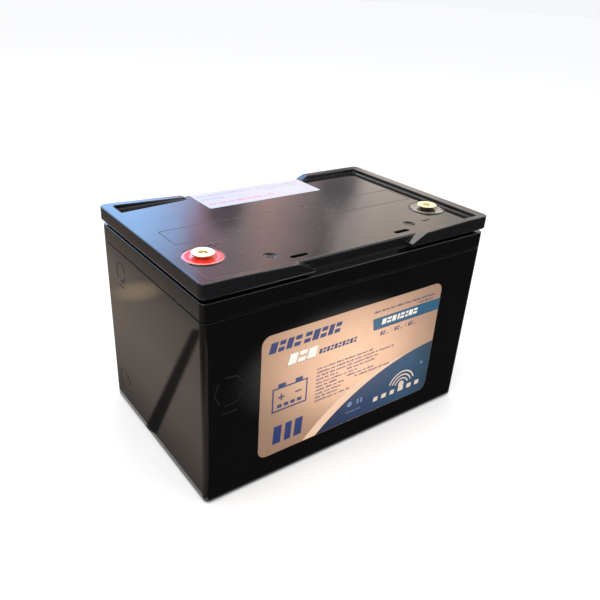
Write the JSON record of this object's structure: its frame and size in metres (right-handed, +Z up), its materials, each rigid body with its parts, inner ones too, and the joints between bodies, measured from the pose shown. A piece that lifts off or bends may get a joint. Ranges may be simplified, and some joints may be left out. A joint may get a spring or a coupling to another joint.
{
  "type": "deep cycle battery",
  "caption": "Sealed absorbed-glass-mat deep cycle battery in a black moulded case, with threaded brass terminals and a rim-framed top for storing leisure power.",
  "frame": {"origin": "centre of the base, on the plane that the battery stands on", "axes": "+X from the positive to the negative terminal, along the long side; -Y towards the long side with the large label; +Z up"},
  "size_m": [0.278, 0.175, 0.186],
  "materials": {
    "case_plastic": "gloss",
    "cover_plastic": "gloss",
    "vent_plate_plastic": "gloss",
    "plug_plastic": "gloss",
    "red_resin": "gloss",
    "black_resin": "gloss",
    "terminal_brass": "satin",
    "lead": "satin",
    "positive_paste": "matte",
    "negative_paste": "matte",
    "glass_mat": "matte",
    "valve_rubber": "matte",
    "seal_rubber": "matte",
    "label_film": "satin",
    "white_label": "satin"
  },
  "bodies": {
    "battery": {"container": "case_plastic", "cell_cover": "case_plastic", "top_cover": "cover_plastic", "vent_plate_left": "vent_plate_plastic", "vent_plate_right": "vent_plate_plastic", "recess_plugs": "plug_plastic", "terminal_positive": "terminal_brass", "terminal_negative": "terminal_brass", "terminal_post_positive": "lead", "terminal_post_negative": "lead", "post_seal_positive": "seal_rubber", "post_seal_negative": "seal_rubber", "seal_resin_positive": "red_resin", "seal_resin_negative": "black_resin", "intercell_welds": "lead", "front_label": "label_film", "top_label": "white_label", "separators_1": "glass_mat", "positive_plates_1": "positive_paste", "negative_plates_1": "negative_paste", "positive_strap_1": "lead", "negative_strap_1": "lead", "separators_2": "glass_mat", "positive_plates_2": "positive_paste", "negative_plates_2": "negative_paste", "positive_strap_2": "lead", "negative_strap_2": "lead", "separators_3": "glass_mat", "positive_plates_3": "positive_paste", "negative_plates_3": "negative_paste", "positive_strap_3": "lead", "negative_strap_3": "lead", "separators_4": "glass_mat", "positive_plates_4": "positive_paste", "negative_plates_4": "negative_paste", "positive_strap_4": "lead", "negative_strap_4": "lead", "separators_5": "glass_mat", "positive_plates_5": "positive_paste", "negative_plates_5": "negative_paste", "positive_strap_5": "lead", "negative_strap_5": "lead", "separators_6": "glass_mat", "positive_plates_6": "positive_paste", "negative_plates_6": "negative_paste", "positive_strap_6": "lead", "negative_strap_6": "lead"},
    "valve_1": {"valve_cap_1": "valve_rubber"},
    "valve_2": {"valve_cap_2": "valve_rubber"},
    "valve_3": {"valve_cap_3": "valve_rubber"},
    "valve_4": {"valve_cap_4": "valve_rubber"},
    "valve_5": {"valve_cap_5": "valve_rubber"},
    "valve_6": {"valve_cap_6": "valve_rubber"}
  },
  "joints": [
    {"name": "valve_lift_1", "type": "slide", "parent": "battery", "child": "valve_1", "axis": [0, 0, 1], "range_m": [0, 0.0008], "stiffness_N_per_m": 1500, "springref_m": -0.0004},
    {"name": "valve_lift_2", "type": "slide", "parent": "battery", "child": "valve_2", "axis": [0, 0, 1], "range_m": [0, 0.0008], "stiffness_N_per_m": 1500, "springref_m": -0.0004},
    {"name": "valve_lift_3", "type": "slide", "parent": "battery", "child": "valve_3", "axis": [0, 0, 1], "range_m": [0, 0.0008], "stiffness_N_per_m": 1500, "springref_m": -0.0004},
    {"name": "valve_lift_4", "type": "slide", "parent": "battery", "child": "valve_4", "axis": [0, 0, 1], "range_m": [0, 0.0008], "stiffness_N_per_m": 1500, "springref_m": -0.0004},
    {"name": "valve_lift_5", "type": "slide", "parent": "battery", "child": "valve_5", "axis": [0, 0, 1], "range_m": [0, 0.0008], "stiffness_N_per_m": 1500, "springref_m": -0.0004},
    {"name": "valve_lift_6", "type": "slide", "parent": "battery", "child": "valve_6", "axis": [0, 0, 1], "range_m": [0, 0.0008], "stiffness_N_per_m": 1500, "springref_m": -0.0004}
  ]
}
